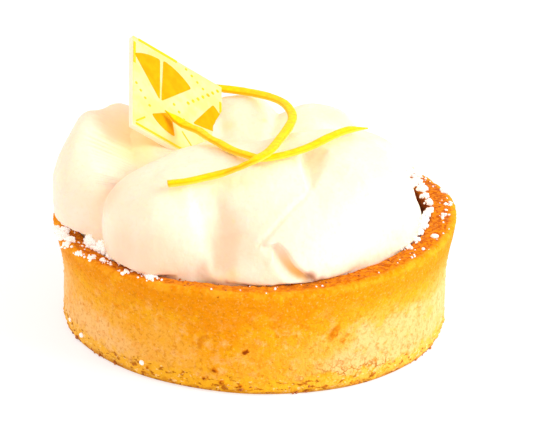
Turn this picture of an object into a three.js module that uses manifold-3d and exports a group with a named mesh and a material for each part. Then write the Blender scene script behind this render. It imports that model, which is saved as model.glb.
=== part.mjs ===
// Individual lemon meringue pie: a straight-sided sweet crust, a rosette of
// soft meringue folds, a square white chocolate plaque and two strips of zest.
// Millimetres. +Z is up, the flat base rests on Z = 0 and -Y is the front.
import * as THREE from "three";
import { mergeVertices } from "three/addons/utils/BufferGeometryUtils.js";
import Module from "manifold-3d";

const wasm = await Module();
wasm.setup();

const TAU = Math.PI * 2;

// ---------------------------------------------------------------- crust sizes
const RIM_RADIUS = 40.1;
const WALL_RADIUS = 38.4;
const CRUST_HEIGHT = 21.85;
const FLARE_START = 10;
const FLARE_HEIGHTS = [6, 12, 15.5, 18.5];
const RIM_INNER_RADIUS = 35.6;
const RIM_THICKENING = 0.9;
const RECESS_FLOOR = 18.3;
const BASE_CHAMFER = 0.6;
const RIM_ROUNDING = 1.0;
const RIM_SLOPE = 1.45;
const RIM_PEAK = 0.9;
const CRUST_SIDES = 96;

// ------------------------------------------------------------- meringue sizes
const GAP = 0.3;
const MERINGUE_FLOOR = RECESS_FLOOR + GAP;
const EDGE_CLEARANCE = 0.6;
const RIM_CLEARANCE = 0.4;
const SKIRT_HEIGHT = 22.15;
const SKIRT_LIFT = 1.8;
const UNDERCUT_RUN = 6;
const FOLD_BLEND = 3.5;
const CREASE_BLEND = 0.5;
const HEART = new THREE.Vector3(1, -2, 22);
const MERINGUE_SIDES = 84;
const MERINGUE_ROWS = 27;
const BOTTOM_ROWS = 3;

// Each fold is one to three swollen lumps: centre x, y, z, half lengths along,
// across and up, heading and pitch of the long axis in degrees, squareness.
const FOLDS = {
  left: [
    [-33.8, 3.0, 28.3, 3.8, 13.5, 10.8, 176, 0, 2.5],
    [-32.6, -6.0, 26.0, 5.2, 9.5, 7.6, 196, 0, 2.3],
    [-28.0, 17.5, 26.0, 5.5, 7.0, 10.2, 0, 0, 2.2],
  ],
  underPlaque: [[-21.2, 4.3, 26.0, 11.3, 15.0, 10.6, 0, -20, 2.1]],
  frontLeft: [
    [-12.6, -15.6, 27.0, 16.6, 12.0, 11.6, 213, -13, 2.8],
    [-13.8, -22.5, 25.0, 6.7, 10.0, 9.0, 270, 0, 2.5],
  ],
  front: [
    [-1.0, -15.0, 27.0, 14.5, 11.5, 12.6, 268, 0, 2.6],
    [2.0, -25.6, 21.2, 12.5, 9.8, 4.8, 0, 0, 2.2],
    [15.8, -8.0, 26.0, 17.5, 12.6, 14.2, 300, 0, 2.6],
    [21.9, -2.2, 22.0, 9.8, 8.1, 6.4, 0, 0, 2.3],
    [10.0, -25.5, 27.5, 9.0, 7.0, 5.0, 195, 2, 2.2],
  ],
  right: [[17.0, 12.5, 25.0, 12.5, 12.0, 8.8, 40, 0, 2.4]],
  backRight: [[10.5, 18.5, 26.0, 13.0, 9.5, 10.8, 70, 0, 2.5]],
  back: [[-3.0, 21.0, 26.0, 13.5, 9.0, 11.3, 98, 0, 2.5]],
  backLeft: [[-16.0, 20.0, 26.0, 15.0, 10.0, 11.0, 130, 0, 2.5]],
  heart: [
    [0.0, 0.0, 20.0, 32.6, 32.6, 3.0, 0, 0, 3.0],
    [-5.0, 3.0, 23.0, 20.0, 14.0, 11.5, 0, 0, 2.2],
  ],
};

// --------------------------------------------------------------- plaque sizes
const PLAQUE_SIDE = 24;
const PLAQUE_THICKNESS = 1.4;
const PLAQUE_BEVEL = 0.15;
const PLAQUE_TOP = new THREE.Vector3(-25.6, 16.6, 53.0);
const PLAQUE_RIGHT = new THREE.Vector3(-7.6, 24.6, 39.2);
const PLAQUE_LEFT = new THREE.Vector3(-24.6, -4.8, 42.0);

// ----------------------------------------------------------------- zest sizes
const ZEST_WIDTH = 1.8;
const ZEST_THICKNESS = 1.0;
const ZEST_STEPS = 40;

// Way points of the strips: x, y, z and the bank of the strip in degrees.
const LOOP_POINTS = [
  [-9.6, 27.8, 37.9, 20],
  [-8.0, 26.6, 38.2, 20],
  [-3.3, 24.6, 38.4, 20],
  [1.8, 19.5, 39.3, 15],
  [4.9, 13.8, 40.1, 8],
  [6.4, 7.7, 40.6, 0],
  [6.7, 2.8, 41.0, 0],
  [6.0, -3.0, 41.4, 0],
  [4.3, -10.8, 41.9, 0],
  [1.9, -20.9, 42.9, 0],
  [-0.4, -24.8, 42.9, 0],
  [-2.8, -24.7, 41.5, 0],
  [-6.1, -23.9, 39.8, 0],
  [-9.8, -24.9, 39.1, 0],
  [-13.1, -26.3, 38.8, 0],
  [-16.9, -27.1, 38.5, 0],
];
const RIBBON_POINTS = [
  [-18.6, 3.8, 41.7, 14],
  [-17.2, 3.4, 40.6, 14],
  [-15.2, 2.4, 39.6, 12],
  [-13.6, 0.3, 39.6, 5],
  [-11.9, -2.2, 39.9, 0],
  [-9.3, -8.9, 40.8, -5],
  [-7.4, -11.6, 40.9, 0],
  [-5.3, -14.9, 41.0, 0],
  [-2.6, -17.8, 41.2, 0],
  [0.8, -19.8, 41.2, 0],
  [5.2, -17.6, 41.2, 0],
  [10.0, -13.9, 41.5, 0],
  [13.9, -10.0, 42.1, 0],
  [17.9, -5.5, 42.0, 0],
  [21.5, -2.8, 41.3, 0],
];

// -------------------------------------------------------------- small helpers
const radians = (degrees) => (degrees * Math.PI) / 180;

function smooth(from, to, value) {
  const t = Math.min(1, Math.max(0, (value - from) / (to - from)));
  return t * t * (3 - 2 * t);
}

// Height of the uneven rim at an angle: it is higher on the right, with a small
// peak on the left.
function rimHeight(angle) {
  return (
    CRUST_HEIGHT +
    RIM_SLOPE * Math.cos(angle) -
    0.3 * Math.sin(2 * angle) +
    0.35 * Math.cos(3 * angle + 0.4) +
    0.08 * Math.sin(7 * angle + 2.1) +
    RIM_PEAK * Math.max(0, -Math.cos(angle)) ** 24
  );
}

// Inner radius of the rim at an angle: it is thicker on the right.
function rimInner(angle) {
  return RIM_INNER_RADIUS - RIM_THICKENING * Math.max(0, Math.cos(angle)) ** 2;
}

// Uneven swelling of the baked wall at an angle.
function wallBulge(angle) {
  return (
    0.2 * Math.cos(angle) -
    0.08 * Math.sin(2 * angle) -
    0.33 * Math.cos(3 * angle) +
    0.06 * Math.sin(11 * angle + 0.4)
  );
}

// A closed surface from rings of points, with a pole point at each end.
function closeRings(rings, firstPole, lastPole) {
  const sides = rings[0].length;
  const points = [firstPole, ...rings.flat(), lastPole];
  const last = points.length - 1;
  const faces = [];
  for (let i = 0; i < sides; i++) {
    const next = (i + 1) % sides;
    faces.push(0, 1 + next, 1 + i);
    for (let row = 0; row + 1 < rings.length; row++) {
      const a = 1 + row * sides + i;
      const b = 1 + row * sides + next;
      faces.push(a, b, a + sides, b, b + sides, a + sides);
    }
    const tail = 1 + (rings.length - 1) * sides;
    faces.push(tail + i, tail + next, last);
  }
  const geometry = new THREE.BufferGeometry().setFromPoints(points);
  geometry.setIndex(faces);
  return geometry;
}

function toSolid(geometry) {
  const bare = new THREE.BufferGeometry();
  bare.setAttribute("position", geometry.getAttribute("position"));
  if (geometry.index) bare.setIndex(geometry.index);
  const merged = mergeVertices(bare, 1e-3);
  return new wasm.Manifold(
    new wasm.Mesh({
      numProp: 3,
      vertProperties: new Float32Array(merged.attributes.position.array),
      triVerts: new Uint32Array(merged.index.array),
    }),
  );
}

function toGeometry(solid) {
  const mesh = solid.getMesh();
  const geometry = new THREE.BufferGeometry();
  geometry.setAttribute(
    "position",
    new THREE.BufferAttribute(new Float32Array(mesh.vertProperties), 3),
  );
  geometry.setIndex(Array.from(mesh.triVerts));
  return geometry;
}

// ----------------------------------------------------------------------- crust
// Outline of the crust at one angle, from the base centre to the recess centre,
// grown outward by an even skin.
function crustOutline(angle, grow) {
  const top = rimHeight(angle) + grow;
  const bulge = wallBulge(angle) + grow;
  const inner = rimInner(angle) - grow;
  const outline = [
    [WALL_RADIUS - BASE_CHAMFER + bulge, -grow],
    [WALL_RADIUS + bulge, BASE_CHAMFER * 1.5],
  ];
  for (const height of FLARE_HEIGHTS) {
    const flare = (RIM_RADIUS - WALL_RADIUS) * smooth(FLARE_START, CRUST_HEIGHT + 1, height);
    outline.push([WALL_RADIUS + bulge + flare, (height * top) / CRUST_HEIGHT]);
  }
  outline.push([RIM_RADIUS + bulge - 0.1, top - RIM_ROUNDING]);
  outline.push([RIM_RADIUS + bulge - 0.35, top - 0.35]);
  outline.push([RIM_RADIUS + bulge - RIM_ROUNDING, top]);
  outline.push([inner + 1.8, top + 0.05]);
  outline.push([inner + 0.7, top - 0.3]);
  outline.push([inner + 0.1, top - RIM_ROUNDING]);
  outline.push([inner, RECESS_FLOOR + grow]);
  return outline;
}

function crustGeometry(grow) {
  const outlines = [];
  for (let i = 0; i < CRUST_SIDES; i++) {
    const angle = (i / CRUST_SIDES) * TAU;
    const outline = crustOutline(angle, grow);
    outlines.push(
      outline.map(([r, z]) => new THREE.Vector3(r * Math.cos(angle), r * Math.sin(angle), z)),
    );
  }
  const rings = outlines[0].map((_, row) => outlines.map((outline) => outline[row]));
  const base = new THREE.Vector3(0, 0, -grow);
  const recess = new THREE.Vector3(0, 0, RECESS_FLOOR + grow);
  return closeRings(rings, base, recess);
}

// -------------------------------------------------------------------- meringue
// One lump as a function of place: about the distance to its skin, negative inside.
function makeLump([x, y, z, along, across, up, heading, pitch, power]) {
  const yaw = radians(heading);
  const tilt = radians(pitch);
  const centre = new THREE.Vector3(x, y, z);
  const long = new THREE.Vector3(
    Math.cos(yaw) * Math.cos(tilt),
    Math.sin(yaw) * Math.cos(tilt),
    Math.sin(tilt),
  );
  const side = new THREE.Vector3(-Math.sin(yaw), Math.cos(yaw), 0);
  const rise = new THREE.Vector3().crossVectors(long, side);
  const axes = [long, side, rise];
  const radii = [along, across, up];
  const offset = new THREE.Vector3();
  return (place) => {
    offset.subVectors(place, centre);
    let total = 1e-12;
    let slope = 0;
    axes.forEach((axis, i) => {
      const share = Math.abs(offset.dot(axis)) / radii[i];
      const lower = share ** (power - 1);
      total += lower * share;
      slope += (lower / radii[i]) ** 2;
    });
    const size = total ** (1 / power);
    return (size - 1) / Math.max((Math.sqrt(slope) * size) / total, 1e-3);
  };
}

// Union of several distances with a rounded valley between them.
function blend(distances, radius) {
  const least = Math.min(...distances);
  const sum = distances.reduce((s, d) => s + Math.exp((least - d) / radius), 0);
  return least - radius * Math.log(sum);
}

const folds = Object.values(FOLDS).map((lumps) => lumps.map(makeLump));

// Height above which the folds may swell out over the rim: it is higher on the left.
function skirtHeight(angle) {
  const level =
    SKIRT_HEIGHT +
    0.9 * Math.cos(angle) +
    0.2 * Math.sin(3 * angle + 1.0) +
    0.15 * Math.sin(7 * angle + 2.1) +
    SKIRT_LIFT * Math.max(0, -Math.cos(angle)) ** 8;
  return Math.max(level, rimHeight(angle) + RIM_CLEARANCE);
}

// Distance to the meringue: the folds, kept clear of the recess and of the rim.
function meringueDistance(place) {
  const each = folds.map((lumps) => blend(lumps.map((lump) => lump(place)), FOLD_BLEND));
  const body = blend(each, CREASE_BLEND);
  const radius = Math.hypot(place.x, place.y);
  const angle = Math.atan2(place.y, place.x);
  const overRim = place.z - skirtHeight(angle);
  const limit = rimInner(angle) - EDGE_CLEARANCE + UNDERCUT_RUN * Math.max(0, overRim);
  const wall = overRim > 0 ? (radius - limit) / UNDERCUT_RUN : radius - limit;
  return Math.max(body, wall, MERINGUE_FLOOR - place.z);
}

// Outermost point of the meringue in one direction from its heart.
function skinPoint(direction) {
  const place = new THREE.Vector3();
  const at = (reach) => place.copy(HEART).addScaledVector(direction, reach);
  let inner = 50;
  while (inner > 1 && meringueDistance(at(inner)) > 0) inner -= 0.4;
  let outer = inner + 0.4;
  for (let i = 0; i < 12; i++) {
    const middle = (inner + outer) / 2;
    if (meringueDistance(at(middle)) > 0) outer = middle;
    else inner = middle;
  }
  return at(inner).clone();
}

function meringueGeometry() {
  const edge = Math.PI / 2 + Math.atan2(HEART.z - MERINGUE_FLOOR, RIM_INNER_RADIUS);
  const rows = MERINGUE_ROWS + BOTTOM_ROWS;
  const rings = [];
  for (let row = 1; row <= rows; row++) {
    const onSkin = (row / MERINGUE_ROWS) * (edge + 0.02);
    const below = edge + 0.02 + ((row - MERINGUE_ROWS) / (BOTTOM_ROWS + 1)) * (Math.PI - edge);
    const polar = row <= MERINGUE_ROWS ? onSkin : below;
    const ring = [];
    for (let i = 0; i < MERINGUE_SIDES; i++) {
      const angle = (i / MERINGUE_SIDES) * TAU;
      const flat = Math.sin(polar);
      const direction = new THREE.Vector3(
        flat * Math.cos(angle),
        flat * Math.sin(angle),
        Math.cos(polar),
      );
      ring.push(skinPoint(direction));
    }
    rings.push(ring);
  }
  const top = skinPoint(new THREE.Vector3(0, 0, 1));
  const bottom = skinPoint(new THREE.Vector3(0, 0, -1));
  return closeRings(rings.reverse(), bottom, top);
}

// ---------------------------------------------------------------------- plaque
// A thin square with bevelled edges, its front face through the named corners.
function plaqueGeometry(grow) {
  const rightward = PLAQUE_RIGHT.clone().sub(PLAQUE_TOP).normalize();
  const downward = PLAQUE_LEFT.clone().sub(PLAQUE_TOP);
  downward.addScaledVector(rightward, -downward.dot(rightward)).normalize();
  const outward = new THREE.Vector3().crossVectors(downward, rightward);
  const half = PLAQUE_SIDE / 2 + grow - PLAQUE_BEVEL;
  const outline = new THREE.Shape([
    new THREE.Vector2(-half, -half),
    new THREE.Vector2(half, -half),
    new THREE.Vector2(half, half),
    new THREE.Vector2(-half, half),
  ]);
  const geometry = new THREE.ExtrudeGeometry(outline, {
    depth: PLAQUE_THICKNESS + 2 * grow - 2 * PLAQUE_BEVEL,
    bevelSize: PLAQUE_BEVEL,
    bevelThickness: PLAQUE_BEVEL,
    bevelSegments: 1,
  });
  const centre = PLAQUE_TOP.clone()
    .addScaledVector(rightward, PLAQUE_SIDE / 2)
    .addScaledVector(downward, PLAQUE_SIDE / 2)
    .addScaledVector(outward, -PLAQUE_THICKNESS - grow + PLAQUE_BEVEL);
  const pose = new THREE.Matrix4().makeBasis(downward, rightward, outward).setPosition(centre);
  return geometry.applyMatrix4(pose);
}

// ------------------------------------------------------------------------ zest
// A flat strip swept along its way points; its flat side is banked about the path.
function zestGeometry(points) {
  const path = new THREE.CatmullRomCurve3(points.map(([x, y, z]) => new THREE.Vector3(x, y, z)));
  const banks = points.map((point) => radians(point[3]));
  const up = new THREE.Vector3(0, 0, 1);
  const rings = [];
  for (let i = 0; i <= ZEST_STEPS; i++) {
    const t = i / ZEST_STEPS;
    const centre = path.getPoint(t);
    const tangent = path.getTangent(t);
    const place = Math.min(t * (banks.length - 1), banks.length - 1.001);
    const first = Math.floor(place);
    const bank = banks[first] + (banks[first + 1] - banks[first]) * (place - first);
    const across = new THREE.Vector3().crossVectors(tangent, up).normalize();
    const above = new THREE.Vector3().crossVectors(across, tangent);
    across.applyAxisAngle(tangent, bank);
    above.applyAxisAngle(tangent, bank);
    const ring = [];
    for (const [side, level] of [[-1, -1], [-1, 1], [1, 1], [1, -1]]) {
      ring.push(
        centre
          .clone()
          .addScaledVector(across, (side * ZEST_WIDTH) / 2)
          .addScaledVector(above, (level * ZEST_THICKNESS) / 2),
      );
    }
    rings.push(ring);
  }
  return closeRings(rings, path.getPoint(0), path.getPoint(1));
}

// -------------------------------------------------------------------- assembly
const LOOKS = {
  crust: { color: 0xe39a45, roughness: 0.85, metalness: 0 },
  meringue: { color: 0xfff6e8, roughness: 0.6, metalness: 0 },
  lemon_plaque: { color: 0xfff3c4, roughness: 0.4, metalness: 0 },
  zest_loop: { color: 0xf4c400, roughness: 0.45, metalness: 0 },
  zest_ribbon: { color: 0xf4c400, roughness: 0.45, metalness: 0 },
};

function makeMesh(name, geometry) {
  const flat = geometry.index ? geometry.toNonIndexed() : geometry;
  flat.computeVertexNormals();
  const mesh = new THREE.Mesh(flat, new THREE.MeshStandardMaterial(LOOKS[name]));
  mesh.name = name;
  return mesh;
}

// The meringue is kept a small gap clear of the plaque pushed into it and of the crust.
const meringue = toSolid(meringueGeometry())
  .subtract(toSolid(plaqueGeometry(GAP)))
  .subtract(toSolid(crustGeometry(GAP)));

const pie = new THREE.Group();
pie.name = "lemon_meringue_pie";
pie.add(makeMesh("crust", crustGeometry(0)));
pie.add(makeMesh("meringue", toGeometry(meringue)));
pie.add(makeMesh("lemon_plaque", plaqueGeometry(0)));
pie.add(makeMesh("zest_loop", zestGeometry(LOOP_POINTS)));
pie.add(makeMesh("zest_ribbon", zestGeometry(RIBBON_POINTS)));

export default pie;
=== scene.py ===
"""Looks of an individual lemon meringue pie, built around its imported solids.

Shapes are in millimetres in the pie's own frame (+Z up, base centre at the origin,
front at -Y) and become metres when their mesh is made.
"""

from math import atan2, cos, pi, radians, sin

import bmesh
import bpy
import numpy as np
from mathutils import Matrix, Vector
from numpy.linalg import norm


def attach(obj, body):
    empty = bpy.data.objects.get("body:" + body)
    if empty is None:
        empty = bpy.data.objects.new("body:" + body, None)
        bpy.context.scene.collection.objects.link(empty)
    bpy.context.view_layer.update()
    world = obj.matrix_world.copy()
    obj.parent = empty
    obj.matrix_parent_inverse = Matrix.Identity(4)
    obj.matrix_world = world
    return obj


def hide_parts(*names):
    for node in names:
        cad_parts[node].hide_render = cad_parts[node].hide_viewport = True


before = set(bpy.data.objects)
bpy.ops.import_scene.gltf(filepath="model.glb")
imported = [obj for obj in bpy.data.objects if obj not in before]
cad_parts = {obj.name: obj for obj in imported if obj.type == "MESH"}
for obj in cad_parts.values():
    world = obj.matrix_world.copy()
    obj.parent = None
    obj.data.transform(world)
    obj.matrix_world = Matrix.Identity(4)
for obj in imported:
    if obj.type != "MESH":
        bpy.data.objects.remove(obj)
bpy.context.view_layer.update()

MM = 0.001
TAU = 2 * pi

# ---- crust sizes
RIM_RADIUS = 40.1
WALL_RADIUS = 38.4
CRUST_HEIGHT = 21.85
FLARE_START = 10.0
RIM_INNER_RADIUS = 35.6
RIM_THICKENING = 0.9
RECESS_FLOOR = 18.3
RIM_ROUNDING = 0.9
INNER_ROUNDING = 0.7
RIM_SLOPE = 1.45
RIM_PEAK = 0.9
RIM_LIP = 0.6
CRUST_SIDES = 800
WALL_ROWS = 78
RIM_ROWS = 14
PORES = 520
DENT_CORE = 0.25  # share of a dent's radius that is fully deep

# ---- meringue sizes
MERINGUE_FLOOR = 18.5
EDGE_CLEARANCE = 0.4
RIM_CLEARANCE = 0.08
SKIRT_HEIGHT = 21.7
SKIRT_LIFT = 2.5
UNDERCUT_RUN = 6.0
FOLD_BLEND = 3.5
CREASE_BLEND = 0.5
HEART = np.array([1.0, -2.0, 22.0])  # the point that all the skin is seen from
MERINGUE_SIDES = 560
MERINGUE_ROWS = 168
BOTTOM_ROWS = 3
PRESSED_ABOVE = (21.9, 23.8)  # heights over which the pressed lines fade in
FRONT_DENSITY = 0.35  # how much closer the columns stand at the front

# Each fold is one or more swollen lumps: centre x, y, z, half lengths along,
# across and up, heading and pitch of the long axis in degrees, squareness.
FOLDS = {
    "left": [
        (-33.8, 3, 28.3, 3.8, 13.5, 10.8, 176, 0, 2.5), (-32.6, -6, 26, 5.2, 9.5, 7.6, 196, 0, 2.3),
        (-28, 17.5, 26, 5.5, 7, 10.2, 0, 0, 2.2),
    ],
    "under_plaque": [(-21.2, 4.3, 26, 11.3, 15, 10.6, 0, -20, 2.1)],
    "front_left": [
        (-12.6, -15.6, 27, 16.6, 12, 11.6, 213, -13, 2.8), (-13.8, -22.5, 25, 6.7, 10, 9, 270, 0, 2.5),
    ],
    "front": [
        (-1, -15, 27, 14.5, 11.5, 12.6, 268, 0, 2.6), (2, -25.6, 21.2, 12.5, 9.8, 4.8, 0, 0, 2.2),
        (15.8, -8, 26, 17.5, 12.6, 14.2, 300, 0, 2.6), (21.9, -2.2, 22, 9.8, 8.1, 6.4, 0, 0, 2.3),
        (10, -25.5, 27.5, 9, 7, 5, 195, 2, 2.2),
    ],
    "right": [(17, 12.5, 25, 12.5, 12, 8.8, 40, 0, 2.4)],
    "back_right": [(10.5, 18.5, 26, 13, 9.5, 10.8, 70, 0, 2.5)],
    "back": [(-3, 21, 26, 13.5, 9, 11.3, 98, 0, 2.5)],
    "back_left": [(-16, 20, 26, 15, 10, 11, 130, 0, 2.5)],
    "heart": [(0, 0, 20, 32.6, 32.6, 3, 0, 0, 3), (-5, 3, 23, 20, 14, 11.5, 0, 0, 2.2)],
}

# Lines pressed into the folds: depth, width on the line's left and on its right,
# and points near the skin with the strength of the line at each.
PRESSED_LINES = {
    "notch": (3.4, 2, 2, [
        (11.2, -14, 41.3, 0.9), (10.8, -15.9, 40.6, 0.95), (10.4, -19.3, 39.2, 0.6),
        (10.2, -22.2, 37.7, 0.25), (10.2, -24.6, 36.4, 0),
    ]),
    "furrow": (1.9, 5.4, 1.5, [
        (-11.4, -24.6, 37, 0.3), (-10.6, -27.8, 34.3, 0.6), (-9.5, -29.6, 31.3, 0.9),
        (-8.5, -30.6, 28.4, 1), (-7.5, -31.5, 24.9, 0.6), (-6.9, -32.9, 20.4, 0.1),
    ]),
    "lip": (1.9, 0.5, 2.1, [
        (10.6, -22.6, 37, 0.08), (8.8, -25.9, 35.3, 0.13), (7.6, -27.3, 34.8, 0.14),
        (5.4, -30, 33.4, 0.13), (3, -31.9, 31.1, 0.15), (1.2, -32.5, 28.9, 0.22),
        (2.5, -32.9, 28.6, 0.45), (4, -33.7, 29, 0.85), (5.3, -34.7, 28, 1),
        (6.3, -35.2, 26.6, 1), (7.5, -35.8, 25.2, 1), (8.9, -36.4, 24.2, 1),
        (10.4, -37.1, 23.4, 0.9), (12, -38, 22.6, 0.7),
    ]),
}

# Spots of painted tan shade on the folds: centre x, y, z, radius and strength.
TAN_SHADE_SPOTS = [
    (-4.4, -29.5, 32.1, 0.7, 0.5), (-4.2, -34.6, 23, 2.2, 0.7), (-6.6, -34.8, 22.6, 1.2, 0.7),
    (-6, 12.7, 35.3, 2.2, 0.5), (-5.1, 6.1, 34.4, 1.8, 0.4), (1.2, 14.4, 35.9, 0.9, 0.6),
    (16.3, 17.9, 35, 6, 0.5), (-8.1, -25.4, 36.5, 1.4, 0.3),
]
# Spots of painted pink shade, low where the folds turn down, in the same way.
PINK_SHADE_SPOTS = [
    (-19.5, -33, 25, 9, 0.9), (-25, -29, 25.5, 7, 0.9), (-13, -35, 25, 5, 0.5),
    (-28.4, -19.2, 32.6, 5, 0.7), (-7.5, -27.5, 34, 4.5, 0.55), (-6.6, -28.9, 31.7, 5, 0.6),
    (-6, -31, 28.5, 6, 0.7), (-5.8, -32.6, 25.5, 6, 0.7), (-1.5, -32.5, 27, 5.5, 0.4),
    (3.3, -35.2, 25.5, 5, 0.5),
]
# Spots of dark painted shade low in the furrows of the front, where the foot meets the rim, in the same
# way.
GAP_SHADE_SPOTS = [
    (12, -34, 21.9, 2.2, 1), (10.4, -35.6, 23.4, 2, 0.7), (-5.2, -34.4, 22, 0.9, 0.6),
]

# ---- plaque sizes
PLAQUE_SIDE = 24.0
PLAQUE_THICKNESS = 1.4
PLAQUE_BEVEL = 0.28
# Corners of the plaque's face.
PLAQUE_TOP = np.array([-25.6, 16.6, 53.0])
PLAQUE_RIGHT = np.array([-7.6, 24.6, 39.2])
PLAQUE_LEFT = np.array([-24.6, -4.8, 42.0])
PRINT_THICKNESS = 0.05
PRINT_SINK = 0.02

# ---- zest sizes
ZEST_WIDTH = 1.8
ZEST_THICKNESS = 1.0
ZEST_SECTION = 16
ZEST_STEPS = 260

# Way points of the strips: x, y, z and the bank of the strip in degrees.
LOOP_POINTS = [
    (-9.6, 27.8, 37.9, 20), (-8, 26.6, 38.2, 20), (-3.3, 24.6, 38.4, 20), (1.8, 19.5, 39.3, 15),
    (4.9, 13.8, 40.1, 8), (6.4, 7.7, 40.6, 0), (6.7, 2.8, 41, 0), (6, -3, 41.4, 0), (4.3, -10.8, 41.9, 0),
    (1.9, -20.9, 42.9, 0), (-0.4, -24.8, 42.9, 0), (-2.8, -24.7, 41.5, 0), (-6.1, -23.9, 39.8, 0),
    (-9.8, -24.9, 39.1, 0), (-13.1, -26.3, 38.8, 0), (-16.9, -27.1, 38.5, 0),
]
RIBBON_POINTS = [
    (-18.6, 3.8, 41.7, 14), (-17.2, 3.4, 40.6, 14), (-15.2, 2.4, 39.6, 12), (-13.6, 0.3, 39.6, 5),
    (-11.9, -2.2, 39.9, 0), (-9.3, -8.9, 40.8, -5), (-7.4, -11.6, 40.9, 0), (-5.3, -14.9, 41, 0),
    (-2.6, -17.8, 41.2, 0), (0.8, -19.8, 41.2, 0), (5.2, -17.6, 41.2, 0), (10, -13.9, 41.5, 0),
    (13.9, -10, 42.1, 0), (17.9, -5.5, 42, 0), (21.5, -2.8, 41.3, 0),
]

# ---- camera and light
IMAGE_SIZE = (550, 440)
FOCAL_PIXELS = 2958.0
CAMERA_DISTANCE = 600.0
CAMERA_ELEVATION = radians(24.5)
CAMERA_ROLL = radians(1.2)
ORIGIN_PIXEL = (254.5, 311.5)
SENSOR_WIDTH = 36.0
WORLD_COLOUR = (1.0, 0.69, 0.58)
WORLD_STRENGTH = 1.15
FLOOR_COLOUR = (0.42, 0.46, 0.54)
FLOOR_GLOW = 0.62
FLOOR_REACH = 3000.0
LAMP_DISTANCE = 600.0
LAMP_SIZE = 420.0
KEY_DIRECTION = (0.8, -0.3, 0.52)
KEY_POWER = 2.8
BACK_DIRECTION = (-0.65, 0.3, 0.6)
BACK_POWER = 0.6


# ---- small helpers
def smooth(low, high, value):
    """0 below low, 1 above high and an even S in between."""
    t = np.clip((value - low) / (high - low), 0, 1)
    return t * t * (3 - 2 * t)


def noise(points, cell, seed):
    """Gradient noise from about -1 to 1, with features one cell across."""
    rng = np.random.default_rng(seed)
    order = rng.permutation(256)
    slopes = rng.normal(size=(256, 3))
    slopes /= norm(slopes, axis=1)[:, None]
    place = points / cell
    corner = np.floor(place).astype(int)
    part = place - corner
    ease = part**3 * (part * (6 * part - 15) + 10)
    total = np.zeros(len(points))
    for step in np.ndindex(2, 2, 2):
        at = (corner + step) & 255
        index = order[(order[(order[at[:, 0]] + at[:, 1]) & 255] + at[:, 2]) & 255]
        weight = np.prod(np.where(np.array(step) == 1, ease, 1 - ease), axis=1)
        total += weight * ((part - step) * slopes[index]).sum(axis=1)
    return 1.6 * total


def fractal(points, cell, seed, octaves=3):
    """Noise of several sizes, each half as large and half as strong as the last."""
    return sum(noise(points, cell / 2**i, seed + i) / 2**i for i in range(octaves))


def around_axis(angle, radius, height):
    """Points at an angle in radians and a radius round the pie's upright axis."""
    return np.stack([radius * np.cos(angle), radius * np.sin(angle), height], axis=-1)


def ring_faces(rows, sides):
    """Faces of a closed surface: a pole, rows of points round an axis, a last pole."""
    column = np.arange(sides)
    beside = (column + 1) % sides
    last_row = 1 + (rows - 1) * sides
    first = np.stack([np.zeros(sides, int), 1 + beside, 1 + column], axis=1)
    last = np.stack([last_row + column, last_row + beside, np.full(sides, last_row + sides)], axis=1)
    starts = 1 + sides * np.arange(rows - 1)[:, None]
    quads = np.stack(
        [starts + column, starts + beside, starts + beside + sides, starts + column + sides], axis=2
    )
    return [*first.tolist(), *quads.reshape(-1, 4).tolist(), *last.tolist()]


def add_object(name, data):
    thing = bpy.data.objects.new(name, data)
    bpy.context.scene.collection.objects.link(thing)
    return thing


def make_piece(name, points, faces, material, node=None):
    """A smooth mesh from points in millimetres, riding on the pie's one body."""
    mesh = bpy.data.meshes.new(name)
    mesh.from_pydata((np.asarray(points) * MM).tolist(), [], faces)
    mesh.update()
    mesh.shade_smooth()
    mesh.materials.append(material)
    piece = add_object(name, mesh)
    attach(piece, "root")
    if node:
        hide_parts(node)
    return piece


def paint(piece, name, values):
    """Stores one number a point, for the materials to read."""
    layer = piece.data.attributes.new(name, "FLOAT", "POINT")
    layer.data.foreach_set("value", np.asarray(values, dtype=np.float32))


def grid_normals(rings):
    """Unit normals of rows of points that close round an axis."""
    around = np.roll(rings, -1, axis=1) - np.roll(rings, 1, axis=1)
    down = np.gradient(rings, axis=0)
    normals = np.cross(around, down)
    return normals / np.maximum(norm(normals, axis=2), 1e-9)[..., None]


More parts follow.
